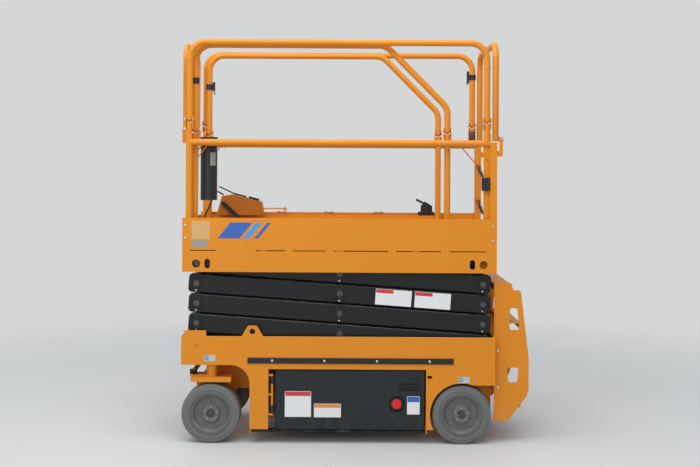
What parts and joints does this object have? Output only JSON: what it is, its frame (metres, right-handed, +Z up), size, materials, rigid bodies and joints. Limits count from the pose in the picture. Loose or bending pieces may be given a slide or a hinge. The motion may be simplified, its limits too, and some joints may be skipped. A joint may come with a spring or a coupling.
{
  "type": "scissor lift",
  "caption": "Self-propelled electric scissor lift: four-layer scissor stack, guard-railed platform with a roll-out deck, steered front wheels, swing-out side modules and an entry ladder.",
  "frame": {"origin": "on the floor under the centre of the stowed machine", "axes": "+Z up, +X towards the ladder end, -X towards the steered front wheels, -Y to the machine's left side"},
  "size_m": [1.9048, 0.76, 2.1925],
  "materials": {
    "orange_paint": "semi-gloss powder coat",
    "arm_paint": "satin paint",
    "slate_paint": "satin powder coat",
    "black_rubber": "matt",
    "black_paint": "satin",
    "black_plastic": "matt",
    "red_plastic": "gloss",
    "steel": "machined",
    "chrome_rod": "ground chrome",
    "grey_tyre": "non-marking solid rubber",
    "grey_rim": "satin paint"
  },
  "bodies": {
    "chassis": {"chassis": "orange_paint", "side_plates": "orange_paint", "bulkheads": "orange_paint", "underframe": "orange_paint", "axle_carriers": "orange_paint", "rub_strips": "black_rubber", "rear_stub_axles": "steel", "ladder": "orange_paint", "module_hinges": "orange_paint"},
    "battery_module": {"battery_door": "slate_paint", "battery_pack": "black_plastic", "battery_latch": "black_plastic", "emergency_stop": "red_plastic"},
    "hydraulic_module": {"hydraulic_door": "slate_paint", "hydraulic_pack": "black_plastic", "hydraulic_latch": "black_plastic"},
    "knuckle_left": {"knuckle_left": "orange_paint", "drive_motor_left": "black_paint"},
    "knuckle_right": {"knuckle_right": "orange_paint", "drive_motor_right": "black_paint"},
    "tie_rod": {"tie_rod": "black_paint"},
    "pothole_guard_left": {"pothole_guard_left": "black_paint"},
    "pothole_guard_right": {"pothole_guard_right": "black_paint"},
    "lift_barrel": {"lift_barrel": "black_paint"},
    "lift_rod": {"lift_rod": "chrome_rod"},
    "platform": {"platform": "orange_paint", "side_panels": "orange_paint", "main_rails": "orange_paint", "rear_hinges": "orange_paint", "entry_chains": "steel", "gate_socket": "black_plastic", "deck_lock": "black_plastic"},
    "main_frame_left": {"main_frame_left": "orange_paint"},
    "main_frame_right": {"main_frame_right": "orange_paint"},
    "rear_frame": {"rear_frame": "orange_paint"},
    "extension": {"extension_deck": "orange_paint", "extension_rails": "orange_paint", "document_tube": "black_plastic", "control_bracket": "orange_paint", "control_fittings": "black_plastic"},
    "extension_frame_left": {"extension_frame_left": "orange_paint"},
    "extension_frame_right": {"extension_frame_right": "orange_paint"},
    "front_frame": {"front_frame": "orange_paint"},
    "wheel_front_left": {"tyre_front_left": "grey_tyre", "rim_front_left": "grey_rim"},
    "wheel_front_right": {"tyre_front_right": "grey_tyre", "rim_front_right": "grey_rim"},
    "wheel_rear_left": {"tyre_rear_left": "grey_tyre", "rim_rear_left": "grey_rim"},
    "wheel_rear_right": {"tyre_rear_right": "grey_tyre", "rim_rear_right": "grey_rim"},
    "outer_arms_1": {"outer_arms_1": "arm_paint"},
    "inner_arms_1": {"inner_arms_1": "arm_paint"},
    "outer_arms_2": {"outer_arms_2": "arm_paint"},
    "inner_arms_2": {"inner_arms_2": "arm_paint"},
    "outer_arms_3": {"outer_arms_3": "arm_paint"},
    "inner_arms_3": {"inner_arms_3": "arm_paint"},
    "outer_arms_4": {"outer_arms_4": "arm_paint"},
    "inner_arms_4": {"inner_arms_4": "arm_paint"}
  },
  "joints": [
    {"name": "scissor_lift", "type": "hinge", "parent": "chassis", "child": "outer_arms_1", "pos_m": [0.692, 0, 0.54], "axis": [0, 1, 0], "range_deg": [0, 51.84]},
    {"name": "cross_pivot_1", "type": "hinge", "parent": "outer_arms_1", "child": "inner_arms_1", "pos_m": [-0.08613, 0, 0.594], "axis": [0, 1, 0], "range_deg": [-103.88, 0]},
    {"name": "end_pivot_1", "type": "hinge", "parent": "inner_arms_1", "child": "outer_arms_2", "pos_m": [0.692, 0, 0.648], "axis": [0, 1, 0], "range_deg": [0, 103.88]},
    {"name": "cross_pivot_2", "type": "hinge", "parent": "outer_arms_2", "child": "inner_arms_2", "pos_m": [-0.08613, 0, 0.702], "axis": [0, 1, 0], "range_deg": [-103.88, 0]},
    {"name": "end_pivot_2", "type": "hinge", "parent": "inner_arms_2", "child": "outer_arms_3", "pos_m": [0.692, 0, 0.756], "axis": [0, 1, 0], "range_deg": [0, 103.88]},
    {"name": "cross_pivot_3", "type": "hinge", "parent": "outer_arms_3", "child": "inner_arms_3", "pos_m": [-0.08613, 0, 0.81], "axis": [0, 1, 0], "range_deg": [-103.88, 0]},
    {"name": "end_pivot_3", "type": "hinge", "parent": "inner_arms_3", "child": "outer_arms_4", "pos_m": [0.692, 0, 0.864], "axis": [0, 1, 0], "range_deg": [0, 103.88]},
    {"name": "cross_pivot_4", "type": "hinge", "parent": "outer_arms_4", "child": "inner_arms_4", "pos_m": [-0.08613, 0, 0.918], "axis": [0, 1, 0], "range_deg": [-103.88, 0]},
    {"name": "platform_pivot", "type": "hinge", "parent": "inner_arms_4", "child": "platform", "pos_m": [0.692, 0, 0.972], "axis": [0, 1, 0], "range_deg": [0, 51.94]},
    {"name": "barrel_pivot", "type": "hinge", "parent": "chassis", "child": "lift_barrel", "pos_m": [0.523, 0, 0.412], "axis": [0, 1, 0], "range_deg": [0, 49.97]},
    {"name": "rod_slide", "type": "slide", "parent": "lift_barrel", "child": "lift_rod", "axis": [-0.9153, 0, 0.4028], "range_m": [0, 0.3086]},
    {"name": "steer_left", "type": "hinge", "parent": "chassis", "child": "knuckle_left", "pos_m": [-0.78226, -0.319, 0.4], "axis": [0, 0, 1], "range_deg": [-40, 40]},
    {"name": "steer_right", "type": "hinge", "parent": "chassis", "child": "knuckle_right", "pos_m": [-0.78226, 0.319, 0.4], "axis": [0, 0, 1], "range_deg": [-40, 40]},
    {"name": "tie_rod_pivot", "type": "hinge", "parent": "knuckle_left", "child": "tie_rod", "pos_m": [-0.88226, -0.319, 0.378], "axis": [0, 0, 1], "range_deg": [-40, 40]},
    {"name": "wheel_front_left_spin", "type": "hinge", "parent": "knuckle_left", "child": "wheel_front_left", "pos_m": [-0.78226, -0.319, 0.159], "axis": [0, 1, 0], "continuous": true},
    {"name": "wheel_front_right_spin", "type": "hinge", "parent": "knuckle_right", "child": "wheel_front_right", "pos_m": [-0.78226, 0.319, 0.159], "axis": [0, 1, 0], "continuous": true},
    {"name": "wheel_rear_left_spin", "type": "hinge", "parent": "chassis", "child": "wheel_rear_left", "pos_m": [0.578, -0.319, 0.159], "axis": [0, 1, 0], "continuous": true},
    {"name": "wheel_rear_right_spin", "type": "hinge", "parent": "chassis", "child": "wheel_rear_right", "pos_m": [0.578, 0.319, 0.159], "axis": [0, 1, 0], "continuous": true},
    {"name": "battery_door_hinge", "type": "hinge", "parent": "chassis", "child": "battery_module", "pos_m": [-0.45026, -0.36, 0.25], "axis": [0, 0, -1], "range_deg": [0, 90]},
    {"name": "hydraulic_door_hinge", "type": "hinge", "parent": "chassis", "child": "hydraulic_module", "pos_m": [-0.45026, 0.36, 0.25], "axis": [0, 0, 1], "range_deg": [0, 90]},
    {"name": "pothole_guard_left_hinge", "type": "hinge", "parent": "chassis", "child": "pothole_guard_left", "pos_m": [-0.09, -0.345, 0.064], "axis": [-1, 0, 0], "range_deg": [0, 90]},
    {"name": "pothole_guard_right_hinge", "type": "hinge", "parent": "chassis", "child": "pothole_guard_right", "pos_m": [-0.09, 0.345, 0.064], "axis": [1, 0, 0], "range_deg": [0, 90]},
    {"name": "deck_slide", "type": "slide", "parent": "platform", "child": "extension", "axis": [-1, 0, 0], "range_m": [0, 0.9]},
    {"name": "extension_frame_left_fold", "type": "hinge", "parent": "extension", "child": "extension_frame_left", "pos_m": [-0.2, -0.3, 1.7], "axis": [-1, 0, 0], "range_deg": [0, 72]},
    {"name": "main_frame_left_fold", "type": "hinge", "parent": "platform", "child": "main_frame_left", "pos_m": [-0.1, -0.348, 1.755], "axis": [-1, 0, 0], "range_deg": [0, 72]},
    {"name": "extension_frame_right_fold", "type": "hinge", "parent": "extension", "child": "extension_frame_right", "pos_m": [-0.2, 0.3, 1.7], "axis": [1, 0, 0], "range_deg": [0, 90]},
    {"name": "main_frame_right_fold", "type": "hinge", "parent": "platform", "child": "main_frame_right", "pos_m": [-0.1, 0.348, 1.755], "axis": [1, 0, 0], "range_deg": [0, 56]},
    {"name": "rear_frame_fold", "type": "hinge", "parent": "platform", "child": "rear_frame", "pos_m": [0.788, 0, 1.655], "axis": [0, 1, 0], "range_deg": [0, 180]},
    {"name": "front_frame_fold", "type": "hinge", "parent": "extension", "child": "front_frame", "pos_m": [-0.94426, 0, 1.705], "axis": [0, -1, 0], "range_deg": [0, 180]}
  ],
  "couplings": [
    {"joint": "cross_pivot_1", "follows": "scissor_lift", "ratio": -2},
    {"joint": "end_pivot_1", "follows": "scissor_lift", "ratio": 2},
    {"joint": "cross_pivot_2", "follows": "scissor_lift", "ratio": -2},
    {"joint": "end_pivot_2", "follows": "scissor_lift", "ratio": 2},
    {"joint": "cross_pivot_3", "follows": "scissor_lift", "ratio": -2},
    {"joint": "end_pivot_3", "follows": "scissor_lift", "ratio": 2},
    {"joint": "cross_pivot_4", "follows": "scissor_lift", "ratio": -2},
    {"joint": "platform_pivot", "follows": "scissor_lift", "ratio": 1},
    {"joint": "barrel_pivot", "follows": "scissor_lift", "ratio": 0.96},
    {"joint": "rod_slide", "follows": "scissor_lift", "m_per_rad": 0.34},
    {"joint": "steer_right", "follows": "steer_left", "ratio": 1},
    {"joint": "tie_rod_pivot", "follows": "steer_left", "ratio": -1},
    {"joint": "pothole_guard_right_hinge", "follows": "pothole_guard_left_hinge", "ratio": 1},
    {"joint": "main_frame_left_fold", "follows": "extension_frame_left_fold", "ratio": 1},
    {"joint": "main_frame_right_fold", "follows": "extension_frame_right_fold", "ratio": 0.62222}
  ]
}
